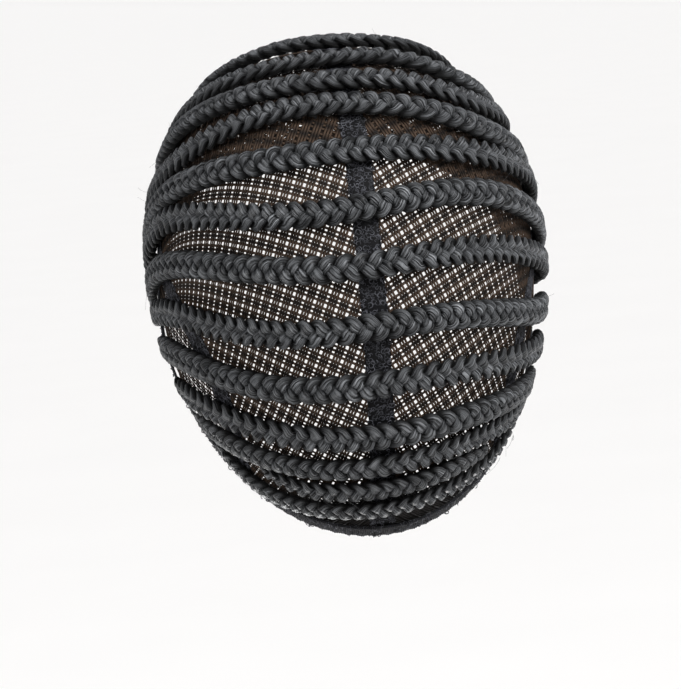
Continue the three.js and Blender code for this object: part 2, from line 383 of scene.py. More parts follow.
# Heights above the inside form and sizes in metres, angles of a loop in radians, and places in degrees
LACE_FLOOR = 0.00035
LACE_TOP = 0.00075
LACE_ROWS = 100
LACE_COLUMNS = 5
LACE_LOOP_RADIUS = 0.00068
LACE_LOOP_SWEEP = 4.4
LACE_LOOP_POINTS = 7
LACE_THREAD_RADIUS = 0.00015
LACE_THREAD_SIDES = 3
LACE_LOOP_TILT = 0.16
LACE_LOOP_GROWTH = (0.55, 1.35)
LACE_LOOPS_PER_SQUARE_METRE = 620000.0
LACE_SEED = 11
LACE_SPIN_SEED = 3
LACE_TILT_SEED = 4
LACE_GROWTH_SEED = 5
CENTRE_BAND_HALF_WIDTH = 0.0046
CENTRE_BAND_RISE = (-27.6, 117.2)
SIDE_BAND_HALF_SWING = 2.4
SIDE_BAND_RISE = (-21.0, 98.0)


def lace_bench():
    bench = GrowBench("lace_loops", radius="size", thread_radius="size", density="size", seed="count",
                      material="material")
    ground = bench.given("Geometry")
    on_top = bench.math("GREATER_THAN", bench.value_of("upper"), 0.5)
    density = bench.given("density") * on_top
    points = bench.node("GeometryNodeDistributePointsOnFaces", None,
                        {"Mesh": ground, "Density": density, "Seed": bench.given("seed")}, "Points")
    spin = bench.chance(0.0, 2 * math.pi, LACE_SPIN_SEED)
    tilt = bench.chance(-LACE_LOOP_TILT, LACE_LOOP_TILT, LACE_TILT_SEED)
    growth = bench.chance(*LACE_LOOP_GROWTH, LACE_GROWTH_SEED)
    twist = bench.node("FunctionNodeEulerToRotation", None, {"Euler": bench.vector(x=tilt, z=spin)})
    turned = bench.node("FunctionNodeRotateRotation", {"rotation_space": "LOCAL"},
                        {"Rotation": points.sibling("Rotation"), "Rotate By": twist})
    arc = bench.node("GeometryNodeCurveArc", None,
                     {"Resolution": LACE_LOOP_POINTS, "Radius": bench.given("radius"),
                      "Sweep Angle": LACE_LOOP_SWEEP})
    loop = bench.tube(arc, bench.ring(LACE_THREAD_SIDES), bench.given("thread_radius"))
    loop = bench.store(loop, "thread", 1.0)
    loops = bench.copies(points, loop, Rotation=turned, Scale=growth)
    bench.end(bench.join(ground, loops))
    return bench


# Colours of the ground and of the looped threads
LACE_GROUND = (0.0030, 0.0030, 0.0036, 1.0)
LACE_DARK = (0.0140, 0.0143, 0.0165, 1.0)
LACE_PALE = (0.0850, 0.0870, 0.1000, 1.0)
LACE_CLOUD_SCALE = 420.0
LACE_FUZZ_SCALE = 2400.0
LACE_FUZZ_DEPTH = 0.00010
LACE_CLOUD_LIMITS = (0.35, 0.65)
LACE_CLOUD_SHARE = 0.7
LACE_ROUGHNESS = 0.5
LACE_GLOSS = 0.08
ROUGHNESS_SPREAD = 0.3

lace_paint = PaintBench("lace_black")
lace_cloud = lace_paint.between(lace_paint.cloud(LACE_CLOUD_SCALE), *LACE_CLOUD_LIMITS)
lace_fuzz = lace_paint.cloud(LACE_FUZZ_SCALE)
lace_mix = lace_cloud * LACE_CLOUD_SHARE + lace_fuzz * (1 - LACE_CLOUD_SHARE)
lace_thread = lace_paint.blend(lace_mix, LACE_DARK, LACE_PALE)
lace_colour = lace_paint.blend(lace_paint.value_of("thread"), LACE_GROUND, lace_thread)
lace_paint.finish(lace_colour, LACE_ROUGHNESS, ROUGHNESS_SPREAD, lace_fuzz, LACE_FUZZ_DEPTH, LACE_GLOSS)


def lace_band(node, rise, low, high):
    """A lace ribbon between two swings."""
    swing = low[:, None] + (high - low)[:, None] * np.linspace(0, 1, LACE_COLUMNS)
    points, outward = cap_places(rise[:, None], swing)
    upper = points + outward * LACE_TOP
    lower = points + outward * LACE_FLOOR
    rings = np.concatenate((upper, lower[:, ::-1]), axis=1)
    count = 2 * LACE_COLUMNS
    faces = ring_faces(LACE_ROWS, count, False) + end_faces(LACE_ROWS, count)
    band = new_piece(node + "_lace", rings.reshape(-1, 3), faces=faces)
    on_top = np.repeat((1.0, 0.0), LACE_COLUMNS)
    keep_values(band, "FLOAT", upper=np.tile(on_top, LACE_ROWS))
    lace_tree.grow(band, radius=LACE_LOOP_RADIUS, thread_radius=LACE_THREAD_RADIUS,
                   density=LACE_LOOPS_PER_SQUARE_METRE, seed=LACE_SEED, material=lace_paint.material)
    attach(band, "root")
    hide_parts(node)


lace_tree = lace_bench()
centre_rise = np.linspace(*CENTRE_BAND_RISE, LACE_ROWS)
centre_swing = centre_seam(centre_rise, CENTRE_BAND_HALF_WIDTH)
lace_band("centre_band", centre_rise, -centre_swing, centre_swing)
side_rise = np.linspace(*SIDE_BAND_RISE, LACE_ROWS)
near_swing = side_seam(side_rise) - SIDE_BAND_HALF_SWING
far_swing = side_seam(side_rise) + SIDE_BAND_HALF_SWING
lace_band("side_band_left", side_rise, -far_swing, -near_swing)
lace_band("side_band_right", side_rise, near_swing, far_swing)

# Edge hem
# A narrow black elastic braid sewn over the net's raw edge all the way round, ribbed across its width and
# fuzzy with looped threads, with a cord along its outer edge that is drawn up into small scallops.

# Heights above the inside form and sizes in metres, and the hem's breadth in degrees
HEM_ANGLE = 3
HEM_FLOOR = 0.00150
HEM_TOP = 0.00210
HEM_STATIONS = 660
HEM_COLUMNS = 4
HEM_SCALLOP_STATIONS = 6
HEM_SCALLOP_DEPTH = 0.0007
HEM_RIB_RADIUS = 0.00034
HEM_RIB_SIDES = 5
HEM_CORD_RADIUS = 0.00042
HEM_CORD_SIDES = 6
HEM_CORD_INSET = 0.0004
HEM_LOOPS_PER_SQUARE_METRE = 220000.0
HEM_SEED = 12
HEM_FINE_STEPS = 8


def hem_line(turn, inset):
    """Rise and swing on the cap's edge, drawn in by an angle, where turn goes once round from 0 to 1."""
    along = np.cos(turn * 2 * np.pi)
    aside = np.sin(turn * 2 * np.pi)
    reach = (np.abs(along) ** EDGE_SQUARENESS + np.abs(aside) ** EDGE_SQUARENESS) ** (-1 / EDGE_SQUARENESS)
    rise = EDGE_MIDDLE_RISE + (EDGE_HALF_RISE - inset) * reach * along
    return rise, (EDGE_HALF_SWING - inset) * reach * aside


def even_turns(count):
    """Turns round the edge that are the same distance apart on the cap."""
    fine = np.linspace(0, 1, HEM_FINE_STEPS * count + 1)
    points, _ = cap_places(*hem_line(fine, 0))
    run = step_lengths(points[None])[0]
    return np.interp(np.arange(count) / count * run[-1], run, fine)


def hem_bench():
    bench = GrowBench("hem_ribs", rib_radius="size", cord_radius="size", material="material")
    is_cord = bench.math("GREATER_THAN", bench.value_of("cord"), 0.5)
    cord = bench.node("GeometryNodeSeparateGeometry", None,
                      {"Geometry": bench.given("Geometry"), "Selection": is_cord}, "Selection")
    strip = cord.sibling("Inverted")
    outward = bench.value_of("outward", "FLOAT_VECTOR")
    inward = bench.value_of("inward", "FLOAT_VECTOR")
    facing = bench.node("FunctionNodeAxesToRotation", {"primary_axis": "Z", "secondary_axis": "X"},
                        {"Primary Axis": outward, "Secondary Axis": inward})
    rib_line = bench.node("GeometryNodeCurvePrimitiveLine", None,
                          {"Start": (0.0, 0.0, 0.0), "End": (1.0, 0.0, 0.0)})
    rib = bench.tube(rib_line, bench.ring(HEM_RIB_SIDES), bench.given("rib_radius"))
    stretch = bench.vector(bench.value_of("rib"), 1.0, 1.0)
    has_rib = bench.math("GREATER_THAN", bench.value_of("rib"), 0.0)
    ribs = bench.copies(strip, rib, Selection=has_rib, Rotation=facing, Scale=stretch)
    edging = bench.tube(bench.curve(cord), bench.ring(HEM_CORD_SIDES), bench.given("cord_radius"))
    bench.end(bench.join(strip, ribs, edging))
    return bench


HEM_DARK = (0.0030, 0.0030, 0.0035, 1.0)
HEM_PALE = (0.0230, 0.0235, 0.0270, 1.0)
HEM_CLOUD_SHARE = 0.5
HEM_ROUGHNESS = 0.55
HEM_GLOSS = 0.12

hem_paint = PaintBench("hem_elastic")
hem_cloud = hem_paint.between(hem_paint.cloud(LACE_CLOUD_SCALE), *LACE_CLOUD_LIMITS)
hem_fuzz = hem_paint.cloud(LACE_FUZZ_SCALE)
hem_mix = hem_cloud * HEM_CLOUD_SHARE + hem_fuzz * (1 - HEM_CLOUD_SHARE)
hem_weave = hem_paint.blend(hem_mix, HEM_DARK, HEM_PALE)
hem_loop = hem_paint.blend(hem_cloud, LACE_DARK, LACE_PALE)
hem_colour = hem_paint.blend(hem_paint.value_of("thread"), hem_weave, hem_loop)
hem_paint.finish(hem_colour, HEM_ROUGHNESS, ROUGHNESS_SPREAD, hem_fuzz, LACE_FUZZ_DEPTH, HEM_GLOSS)

hem_turns = even_turns(HEM_STATIONS)
hem_rise, hem_swing = hem_line(hem_turns[:, None], np.linspace(0, HEM_ANGLE, HEM_COLUMNS))
hem_points, hem_outward = cap_places(hem_rise, hem_swing)
hem_across = hem_points[:, -1] - hem_points[:, 0]
hem_width = np.linalg.norm(hem_across, axis=-1)
hem_inward = hem_across / hem_width[:, None]
scallop = np.abs(np.cos(np.pi * np.arange(HEM_STATIONS) / HEM_SCALLOP_STATIONS))
drawn_in = (HEM_CORD_INSET + HEM_SCALLOP_DEPTH * scallop)[:, None]
hem_points[:, 0] += hem_inward * drawn_in
hem_upper = hem_points + hem_outward * HEM_TOP
hem_lower = hem_points + hem_outward * HEM_FLOOR
hem_rings = np.concatenate((hem_upper, hem_lower[:, ::-1]), axis=1)
ring_count = 2 * HEM_COLUMNS
strip_count = HEM_STATIONS * ring_count
cord_height = (HEM_FLOOR + HEM_TOP) / 2
cord_points = hem_points[:, 0] + hem_outward[:, 0] * cord_height
cord_edges = [(strip_count + i, strip_count + (i + 1) % HEM_STATIONS) for i in range(HEM_STATIONS)]
hem_faces = ring_faces(HEM_STATIONS, ring_count, True)
hem = new_piece("edge_hem_braid", np.concatenate((hem_rings.reshape(-1, 3), cord_points)),
                edges=cord_edges, faces=hem_faces)
rib_lengths = np.zeros((HEM_STATIONS, ring_count))
rib_lengths[:, 0] = hem_width - drawn_in[:, 0]
no_cord = np.zeros(strip_count)
cord_mark = np.ones(HEM_STATIONS)
on_top = np.tile(np.repeat((1.0, 0.0), HEM_COLUMNS), HEM_STATIONS)
keep_values(hem, "FLOAT", cord=np.concatenate((no_cord, cord_mark)),
            rib=np.concatenate((rib_lengths.ravel(), cord_mark * 0)),
            upper=np.concatenate((on_top, cord_mark * 0)))
ring_out = np.concatenate((hem_outward, hem_outward[:, ::-1]), axis=1).reshape(-1, 3)
ring_in = np.repeat(hem_inward, ring_count, axis=0)
keep_values(hem, "FLOAT_VECTOR", outward=np.concatenate((ring_out, hem_outward[:, 0])),
            inward=np.concatenate((ring_in, hem_inward)))
hem_bench().grow(hem, rib_radius=HEM_RIB_RADIUS, cord_radius=HEM_CORD_RADIUS, material=hem_paint.material)
lace_tree.grow(hem, radius=LACE_LOOP_RADIUS, thread_radius=LACE_THREAD_RADIUS,
               density=HEM_LOOPS_PER_SQUARE_METRE, seed=HEM_SEED, material=hem_paint.material)
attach(hem, "root")
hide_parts("edge_hem")

# Stretch net
# Four panels of knitted nylon, two large ones at the back and two small ones at the sides, cut flat, sewn
# under the bands and the hem, and stretched when worn. Bundles of three threads cross and are knotted.

# The net's pattern is set out flat and then laid on the cloth. Threads are fat at the knots and thin
# between, and fatter at the nape, where the elastic draws the net up. Depths below the crown are in metres
NET_BUNDLE_THREADS = 3
NET_THREAD_SIDES = 4
NET_NAPE_START = 0.148
NET_NAPE_END = 0.162


def net_bench():
    bench = GrowBench("stretch_net", across_pitch="size", along_pitch="size", across_count="count",
                      along_count="count", warp_spread="size", warp_thread="size", warp_knot="size",
                      weft_spread="size", weft_thread="size", weft_knot="size", flatness="size",
                      lean="size", centre_across="size", centre_along="size", weave="size",
                      nape_growth="size", material="material")
    across = (bench.given("across_pitch"), bench.given("across_count"))
    along = (bench.given("along_pitch"), bench.given("along_count"))
    odd = bench.math("MODULO", bench.node("GeometryNodeInputIndex"), 2.0)
    layers = []
    thread_sets = (("warp", 0.0, 1.0, across, along), ("weft", math.pi / 2, -1.0, along, across))
    for name, turn, side, (bundle_pitch, bundles), (knot_pitch, knots) in thread_sets:
        half_length = knot_pitch * knots * 0.5
        thread = bench.line(knots * 2 + 1, bench.vector(y=-half_length), bench.vector(y=knot_pitch * 0.5))
        thread = bench.store(thread, "knot", 1 - odd)
        spread = bench.given(name + "_spread")
        bundle = bench.line(NET_BUNDLE_THREADS, bench.vector(x=-spread), bench.vector(x=spread))
        half_breadth = bundle_pitch * bundles * 0.5
        rows = bench.line(bundles + 1, bench.vector(x=-half_breadth), bench.vector(x=bundle_pitch))
        layer = bench.copies(rows, bench.copies(bundle, thread))
        layer = bench.node("GeometryNodeTransform", None, {"Geometry": layer, "Rotation": (0.0, 0.0, turn)})
        layer = bench.store(layer, "over", side)
        slim = bench.given(name + "_thread")
        fatness = bench.value_of("knot") * (bench.given(name + "_knot") - slim)
        layers.append(bench.store(layer, "half_width", fatness + slim))
    lattice = bench.join(*layers)
    place = bench.node("GeometryNodeInputPosition")
    centre = bench.vector(bench.given("centre_across"), bench.given("centre_along"))
    lean = bench.node("FunctionNodeEulerToRotation", None, {"Euler": bench.vector(z=bench.given("lean"))})
    lattice = bench.node("GeometryNodeTransform", None,
                         {"Geometry": lattice, "Translation": centre, "Rotation": lean})
    flat = bench.value_of("flat", "FLOAT_VECTOR")

    def on_cloth(value, out="Value"):
        cloth = bench.given("Geometry")
        sockets = {"Mesh": cloth, "Value": value, "Source UV Map": flat, "Sample UV": place}
        return bench.node("GeometryNodeSampleUVSurface", {"data_type": "FLOAT_VECTOR"}, sockets, out)

    is_on_cloth = on_cloth(place, "Is Valid")
    off_cloth = bench.node("FunctionNodeBooleanMath", {"operation": "NOT"}, {0: is_on_cloth})
    lattice = bench.node("GeometryNodeDeleteGeometry", {"domain": "POINT"},
                         {"Geometry": lattice, "Selection": off_cloth})
    cloth_outward = on_cloth(bench.value_of("outward", "FLOAT_VECTOR"))
    lattice = bench.store(lattice, "facing", cloth_outward, "FLOAT_VECTOR")
    lattice = bench.moved(lattice, Position=on_cloth(place))
    outward = bench.value_of("facing", "FLOAT_VECTOR")
    height = bench.value_of("over") * bench.given("weave")
    lattice = bench.moved(lattice, Offset=outward * height)
    threads = bench.faced(bench.curve(lattice), outward)
    squash = bench.vector(bench.given("flatness"), 1.0, 1.0)
    profile = bench.node("GeometryNodeTransform", None,
                         {"Geometry": bench.ring(NET_THREAD_SIDES), "Scale": squash})
    depth = -bench.part(place, "Z")
    drawn_up = bench.between(depth, NET_NAPE_START, NET_NAPE_END) * bench.given("nape_growth")
    bench.end(bench.tube(threads, profile, bench.value_of("half_width") * (1 + drawn_up)))
    return bench


# Distances between bundles and between the threads of one, and half widths of a thread
NET_ACROSS_PITCH = 0.0042
NET_ALONG_PITCH = 0.0050
NET_LEAN = 27
NET_WARP = {"warp_spread": 0.00112, "warp_thread": 0.00044, "warp_knot": 0.00052}
NET_WEFT = {"weft_spread": 0.00145, "weft_thread": 0.00047, "weft_knot": 0.00066}
NET_HEIGHT = 0.00047
NET_FLATNESS = 0.24
NET_WEAVE = 0.00010
NET_NAPE_GROWTH = 0.50
NET_ROWS = 110
NET_COLUMNS = 24
NET_UNDER_CENTRE_BAND = 0.0020
NET_UNDER_SIDE_BAND = 0.5
NET_EDGE_INSET = 0.8
NET_SPARE = 1.2
BACK_PANEL_RISE = (-27.0, 116.6)
SIDE_PANEL_RISE = (-18.2, 94.2)

# Panels: which side each is on, and the trimmings that go with it, which nothing reads
NET_PANELS = (
    {"node": "net_back_left", "side": -1, "back": True, "trims": ["centre_band_lace"]},
    {"node": "net_back_right", "side": 1, "back": True, "trims": ["edge_hem_braid"]},
    {"node": "net_side_left", "side": -1, "back": False, "trims": ["side_band_left_lace"]},
    {"node": "net_side_right", "side": 1, "back": False, "trims": ["side_band_right_lace"]},
)


def net_seams(panel, rise):
    """The swings of a panel's two long edges, from left to right, a little under the bands and the hem."""
    outer = edge_swing(rise, NET_EDGE_INSET)
    if panel["back"]:
        near = centre_seam(rise, NET_UNDER_CENTRE_BAND)
        far = np.minimum(side_seam(rise) - NET_UNDER_SIDE_BAND, outer)
    else:
        near = side_seam(rise) + NET_UNDER_SIDE_BAND
        far = outer
    return (near, far) if panel["side"] > 0 else (-far, -near)


def net_cloth(panel):
    """A panel as a smooth sheet, and the place of each of its points on the flat cut."""
    rise = np.linspace(*(BACK_PANEL_RISE if panel["back"] else SIDE_PANEL_RISE), NET_ROWS)
    low, high = net_seams(panel, rise)
    swing = low[:, None] + (high - low)[:, None] * np.linspace(0, 1, NET_COLUMNS)
    points, outward = cap_places(rise[:, None], swing)
    points = points + outward * NET_HEIGHT
    if panel["back"]:
        along = step_lengths(points.transpose(1, 0, 2))[NET_COLUMNS // 2]
        from_left = step_lengths(points)
        flat_across = from_left if panel["side"] > 0 else from_left - from_left[:, -1:]
        flat_along = np.broadcast_to(along[:, None], flat_across.shape)
    else:
        flat_across = panel["side"] * points[..., 1]
        flat_along = points[..., 2]
    flat = np.stack((flat_across, flat_along, np.zeros_like(flat_across)), axis=-1).reshape(-1, 3)
    faces = grid_faces(NET_ROWS, NET_COLUMNS)
    cloth = new_piece(panel["node"] + "_cloth", points.reshape(-1, 3), faces=faces)
    keep_values(cloth, "FLOAT_VECTOR", flat=flat, outward=outward)
    return cloth, flat


NET_KNOT = (0.0055, 0.0046, 0.0042, 1.0)
NET_DARK = (0.0210, 0.0138, 0.0095, 1.0)
NET_PALE = (0.0780, 0.0500, 0.0335, 1.0)
NET_CLOUD_SCALE = 90.0
NET_FUZZ_SCALE = 2600.0
NET_FUZZ_DEPTH = 0.00008
NET_CLOUD_SHARE = 0.5
NET_ROUGHNESS = 0.6
NET_GLOSS = 0.1

net_paint = PaintBench("net_nylon")
net_cloud = net_paint.cloud(NET_CLOUD_SCALE)
net_fuzz = net_paint.cloud(NET_FUZZ_SCALE)
net_mix = net_cloud * NET_CLOUD_SHARE + net_fuzz * (1 - NET_CLOUD_SHARE)
net_thread = net_paint.blend(net_mix, NET_DARK, NET_PALE)
net_depth = -net_paint.part(net_paint.place, "Z")
net_nape = net_paint.between(net_depth, NET_NAPE_START, NET_NAPE_END)
net_dark_share = net_paint.math("MAXIMUM", net_paint.value_of("knot"), net_nape)
net_colour = net_paint.blend(net_dark_share, net_thread, NET_KNOT)
net_paint.finish(net_colour, NET_ROUGHNESS, ROUGHNESS_SPREAD, net_fuzz, NET_FUZZ_DEPTH, NET_GLOSS)

net_tree = net_bench()
for panel in NET_PANELS:
    cloth, flat = net_cloth(panel)
    size = flat.max(axis=0) - flat.min(axis=0)
    centre = (flat.max(axis=0) + flat.min(axis=0)) / 2
    cut_area = sum(polygon.area for polygon in cloth.data.polygons)
    span = NET_SPARE * np.linalg.norm(size)
    across_count = math.ceil(span / NET_ACROSS_PITCH)
    along_count = math.ceil(span / NET_ALONG_PITCH)
    lean = math.radians(panel["side"] * NET_LEAN)
    net_tree.grow(cloth, across_pitch=NET_ACROSS_PITCH, along_pitch=NET_ALONG_PITCH,
                  across_count=across_count, along_count=along_count, **NET_WARP, **NET_WEFT,
                  flatness=NET_FLATNESS, lean=lean, centre_across=float(centre[0]),
                  centre_along=float(centre[1]), weave=NET_WEAVE, nape_growth=NET_NAPE_GROWTH,
                  material=net_paint.material)
    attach(cloth, "root")
    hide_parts(panel["node"])
    cut_width = max(size[0], cut_area / size[1])

# Plaited rows
# Sixteen plaits of charcoal synthetic hair, each of three strands, sewn to the net from one side to the
# other. They lie close together at the sides and the nape and spread apart over the back; every second one
# points the other way.

# Rows from the nape up: rises of the middle and the ends, how late a row curls to its ends, the share of
# the way to the edge that it goes, two bends to one side and back, the tilt of its ends, and its girth
PLAIT_ROWS = (
    {"middle": -19.4, "end": -11.6, "curl": 3.8, "sway": -1.2, "wave": -0.1, "girth": 0.74},
    {"middle": -14.7, "end": -13.3, "curl": 2.6, "share": 0.67, "sway": -1.0, "wave": -0.2, "tip": -0.3,
     "girth": 0.8},
    {"middle": -9.9, "end": -6.1, "curl": 2.4, "sway": -0.6, "wave": 0.3, "tip": -1.0, "girth": 0.85},
    {"middle": -4.5, "end": 2.3, "curl": 1.9, "wave": 0.4, "tip": -3.8},
    {"middle": 3.7, "end": 17.9, "curl": 2.3, "sway": 0.6, "wave": 0.8, "tip": -6.7},
    {"middle": 12.0, "end": 33.7, "curl": 2.3, "sway": 1.5, "wave": 1.3, "tip": -5.2},
    {"middle": 20.4, "end": 46.1, "curl": 1.8, "sway": 1.4, "wave": 1.2, "tip": -3.3},
    {"middle": 28.4, "end": 59.1, "curl": 1.9, "sway": 1.7, "wave": 1.8, "tip": -2.5},
    {"middle": 36.6, "end": 74.1, "curl": 2.5, "sway": 1.1, "wave": 0.5},
    {"middle": 44.3, "end": 86.5, "curl": 3.7, "sway": 1.8, "wave": 0.1},
    {"middle": 49.4, "end": 96.4, "curl": 3.7, "sway": 2.6, "wave": 1.0},
    {"middle": 56.1, "end": 100.5, "curl": 4.1, "sway": 2.6, "wave": 1.3},
    {"middle": 66.5, "end": 104.4, "curl": 2.8, "sway": 1.6},
    {"middle": 79.0, "end": 107.4, "curl": 2.6},
    {"middle": 91.5, "end": 109.5, "curl": 2.6},
    {"middle": 104.0, "end": 111.0, "curl": 2.6},
)

# What a row has unless its line says otherwise, and sizes in metres
ROW_USUAL = {"share": 1.0, "sway": 0.0, "wave": 0.0, "tip": 0.0, "girth": 1.0}
ROW_END_INSET = 5.2
ROW_SAMPLES = 1200
PLAIT_STEP = 0.00072
PLAIT_FLOOR = 0.00145
PLAIT_HEIGHT = 0.0050
PLAIT_HALF_WIDTH = 0.00475
PLAIT_TAPER_LENGTH = 0.026
PLAIT_END_WIDTH_SHARE = 0.62
PLAIT_END_HEIGHT_SHARE = 0.70
PLAIT_TIP_LENGTH = 0.004
PLAIT_TIP_SHARE = 0.35
LOBE_PITCH = 0.0053
LOBE_PITCH_DRIFT = 0.035
LOBE_DRIFT_RATES = (31, 53, 89)
LOBE_DRIFT_PHASE = 6
PLAIT_SEED = 100
STRANDS = 3
STRAND_SIDES = 14
STRAND_HALF_WIDTH = 0.00212
STRAND_HALF_THICKNESS = 0.00125
STRAND_FLATNESS = 0.50
STRAND_PLUMPNESS = 0.12
STRAND_UNEVENNESS = 0.30
STRAND_STEEPNESS = 0.0006
STRAND_SLIDE_PHASE = 0.35
STRAND_INSET_SHARE = 0.91
WOBBLES_ALONG = 160.0
WOBBLE_APART = 7.0
RIDGE_DEPTH = 0.00026
RIDGES_ROUND = 2.4
RIDGES_ALONG = 70.0

# A strand crosses from side to side nearly straight: rates and sizes of a triangle wave's first terms
ZIGZAG_TERMS = ((1.0, 1.0), (3.0, -1 / 9), (5.0, 1 / 25))


def row_path(row):
    """A row's middle line on the cap at even steps, and the directions out of the cap and across it."""
    side = np.linspace(-1, 1, ROW_SAMPLES)
    left_swing, right_swing = edge_swing(row["end"] + row["tip"] * np.array((-1, 1)), ROW_END_INSET)
    swing = row["share"] * np.where(side < 0, left_swing, right_swing) * side
    rise = row["middle"] + (row["end"] - row["middle"]) * np.abs(side) ** row["curl"]
    rise = rise + row["wave"] * np.sin(2 * np.pi * side) - row["sway"] * np.sin(np.pi * side)
    rise = rise + row["tip"] * side ** 3
    run = step_lengths(cap_places(rise, swing)[0][None])[0]
    count = int(run[-1] / PLAIT_STEP)
    even = np.linspace(0, run[-1], count)
    points, outward = cap_places(np.interp(even, run, rise), np.interp(even, run, swing))
    forward = np.gradient(points, axis=0)
    across = np.cross(outward, forward)
    return even, points, outward, across / np.linalg.norm(across, axis=-1, keepdims=True)


def plait_bench():
    bench = GrowBench("three_strand_plait", half_width="size", height="size", strand_width="size",
                      strand_thickness="size", plumpness="size", unevenness="size", steepness="size",
                      ridge_depth="size", material="material")
    path = bench.curve(bench.given("Geometry"))
    strands = bench.node("GeometryNodeDuplicateElements", {"domain": "SPLINE"},
                         {"Geometry": path, "Amount": STRANDS}, "Geometry")
    which = strands.sibling("Duplicate Index")
    turn = (bench.value_of("turns") + which * (1 / STRANDS)) * (2 * math.pi)
    over = bench.math("SINE", turn * 2.0)
    slide = bench.math("COSINE", turn * 2.0 + STRAND_SLIDE_PHASE)
    wide = bench.value_of("wide")
    tall = bench.value_of("tall")
    outward = bench.value_of("outward", "FLOAT_VECTOR")
    reach = bench.given("half_width") - bench.given("strand_width") * STRAND_INSET_SHARE
    bob = bench.given("height") * 0.5 - bench.given("strand_thickness")
    zigzag = sum(bench.math("SINE", turn * rate) * size for rate, size in ZIGZAG_TERMS)
    aside = zigzag * reach * wide
    lift = (bench.given("height") * 0.5 + over * bob) * tall
    shift = (bench.value_of("across", "FLOAT_VECTOR") * aside + outward * lift
             + bench.value_of("ahead", "FLOAT_VECTOR") * (slide * bench.given("steepness") * wide))
    strands = bench.store(strands, "strand_run", bench.value_of("run") + which)
    wobble_place = bench.vector(bench.value_of("run") * WOBBLES_ALONG, which * WOBBLE_APART)
    wobble = bench.noise(wobble_place, 1.0) - 0.5
    shape = wide * (1 + over * bench.given("plumpness") + wobble * bench.given("unevenness"))
    strands = bench.store(strands, "strand_scale", shape)
    # How far a strand is lifted over the others, kept for the hair's painted shade where it passes under
    # them
    strands = bench.store(strands, "lifted", over)
    strands = bench.faced(bench.moved(strands, Offset=shift), outward)
    rim = bench.node("GeometryNodeInputPosition")

    def flattened(axis):
        part = bench.part(rim, axis)
        return bench.math("SIGN", part) * bench.math("POWER", bench.math("ABSOLUTE", part), STRAND_FLATNESS)

    profile = bench.store(bench.ring(STRAND_SIDES), "strand_round", rim, "FLOAT_VECTOR")
    thick = flattened("X") * bench.given("strand_thickness")
    broad = flattened("Y") * bench.given("strand_width")
    profile = bench.moved(profile, Position=bench.vector(thick, broad))
    strands = bench.tube(strands, profile, bench.value_of("strand_scale"))
    ridge_place = (bench.value_of("strand_round", "FLOAT_VECTOR") * RIDGES_ROUND
                   + bench.vector(z=bench.value_of("strand_run") * RIDGES_ALONG))
    ridge = (bench.noise(ridge_place, 1.0) - 0.5) * bench.given("ridge_depth")
    normal = bench.node("GeometryNodeInputNormal")
    bench.end(bench.moved(strands, Offset=normal * ridge))
    return bench


# Hair colours, one of them a painted shade, and how many fibres there are round a strand and along it
HAIR_PAINTED_SHADE = (0.0012, 0.0012, 0.0014, 1.0)
HAIR_DARK = (0.0030, 0.0032, 0.0036, 1.0)
HAIR_PALE = (0.1600, 0.1668, 0.1768, 1.0)
FIBRES_ROUND = 5.0
FINE_FIBRES_ROUND = 13.0
FIBRES_ALONG = 110.0
FIBRE_DEPTH = 0.00060
HAIR_CLOUD_SCALE = 70.0
STREAK_LIMITS = (0.42, 0.61)
# The painted shade darkens a strand towards its flanks and where it passes under the others, between these
# limits
PAINTED_SHADE_TOP_LIMITS = (-0.05, 0.40)
PAINTED_SHADE_LIFT_LIMITS = (-0.6, 0.3)
HAIR_TONE_LEAST = 0.55
HAIR_TONE_SPREAD = 0.7
HAIR_ROUGHNESS = 0.72
UNSHADED_SMOOTHNESS = 0.40
STREAK_ROUGHNESS = 0.08
HAIR_GLOSS = 0.16

hair_paint = PaintBench("hair_charcoal")
hair_round = hair_paint.value_of("strand_round", "Vector")
hair_along = hair_paint.vector(z=hair_paint.value_of("strand_run") * FIBRES_ALONG)
fibre = hair_paint.noise(hair_round * FIBRES_ROUND + hair_along, 1.0)
fine_fibre = hair_paint.noise(hair_round * FINE_FIBRES_ROUND + hair_along, 1.0)
streak = hair_paint.between(fibre * 0.5 + fine_fibre * 0.5, *STREAK_LIMITS)
hair_cloud = hair_paint.cloud(HAIR_CLOUD_SCALE)
hair_top = hair_paint.part(hair_round, "X")
hair_lift = hair_paint.value_of("lifted")
# Painted shade: the strands go near-black on their flanks and where they pass under one another, where
# shade falls in the plait
unshaded_share = hair_paint.between(hair_top, *PAINTED_SHADE_TOP_LIMITS) * hair_paint.between(hair_lift, *PAINTED_SHADE_LIFT_LIMITS)
pale_share = streak * (HAIR_TONE_LEAST + hair_cloud * HAIR_TONE_SPREAD)
hair_tone = hair_paint.blend(pale_share, HAIR_DARK, HAIR_PALE)
# The near-black painted shade is laid over the fibre tones here
hair_colour = hair_paint.blend(unshaded_share, HAIR_PAINTED_SHADE, hair_tone)
hair_roughness = HAIR_ROUGHNESS - unshaded_share * UNSHADED_SMOOTHNESS
hair_paint.finish(hair_colour, hair_roughness, STREAK_ROUGHNESS, streak, FIBRE_DEPTH, HAIR_GLOSS)

